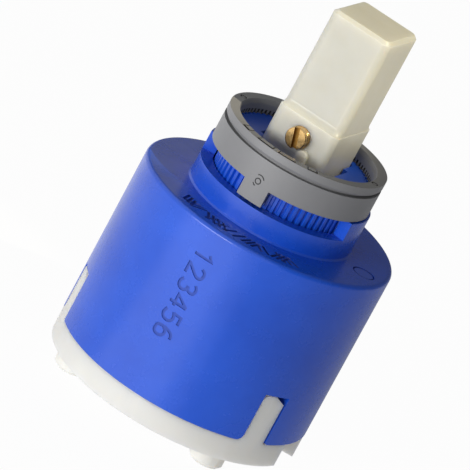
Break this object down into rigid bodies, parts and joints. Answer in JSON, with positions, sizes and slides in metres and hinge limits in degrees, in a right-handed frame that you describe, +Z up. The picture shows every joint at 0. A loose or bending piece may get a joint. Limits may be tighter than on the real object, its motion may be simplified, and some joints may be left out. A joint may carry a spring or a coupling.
{
  "type": "single-lever mixer cartridge",
  "caption": "Round ceramic-disc cartridge for a single-lever mixer tap: a lever in a splined turning neck slides and turns one disc over another, under a lift-off temperature ring.",
  "frame": {"origin": "on the cartridge's axis at the seat face, the flat underside of the base; the two locating pegs and the lower seals reach below it", "axes": "+Z up along the cartridge's axis to the end of the lever, -Y the front, the side of the lever's screw, +X to the right of a viewer who looks at the front"},
  "size_m": [0.047, 0.047, 0.0776],
  "materials": {
    "blue_plastic": "satin moulded",
    "pale_plastic": "satin moulded",
    "ivory_plastic": "satin moulded",
    "grey_plastic": "fine matt",
    "carrier_plastic": "smooth",
    "disc_ceramic": "lapped",
    "seal_rubber": "moulded",
    "steel": "turned",
    "brass": "turned"
  },
  "bodies": {
    "body": {"housing": "blue_plastic", "base": "pale_plastic", "seal_lower_hot": "seal_rubber", "seal_lower_cold": "seal_rubber", "seal_lower_outlet": "seal_rubber", "seal_upper_hot": "seal_rubber", "seal_upper_cold": "seal_rubber", "seal_upper_outlet": "seal_rubber", "fixed_disc": "disc_ceramic", "slide_washer": "carrier_plastic"},
    "neck": {"turret": "blue_plastic", "pivot_pin": "steel"},
    "carrier": {"moving_disc": "disc_ceramic", "mixing_screen": "steel", "disc_carrier": "carrier_plastic", "carrier_seal": "seal_rubber"},
    "stem": {"lever": "ivory_plastic"},
    "screw": {"flow_limit_screw": "brass"},
    "ring": {"temperature_ring": "grey_plastic"}
  },
  "joints": [
    {"name": "turret_turn", "type": "hinge", "parent": "body", "child": "neck", "pos_m": [0, 0, 0.0367], "axis": [0, 0, 1], "range_deg": [-50, 50]},
    {"name": "lever_tilt", "type": "hinge", "parent": "neck", "child": "stem", "pos_m": [0, 0.001, 0.0425], "axis": [1, 0, 0], "range_deg": [0, 24]},
    {"name": "carrier_slide", "type": "slide", "parent": "neck", "child": "carrier", "axis": [0, 1, 0], "range_m": [0, 0.0071]},
    {"name": "ring_lift", "type": "slide", "parent": "neck", "child": "ring", "axis": [0, 0, 1], "range_m": [0, 0.0044]},
    {"name": "screw_feed", "type": "slide", "parent": "stem", "child": "screw", "axis": [0, 1, 0], "range_m": [0, 0.00175]}
  ],
  "couplings": [
    {"joint": "carrier_slide", "follows": "lever_tilt", "m_per_rad": 0.016876}
  ]
}
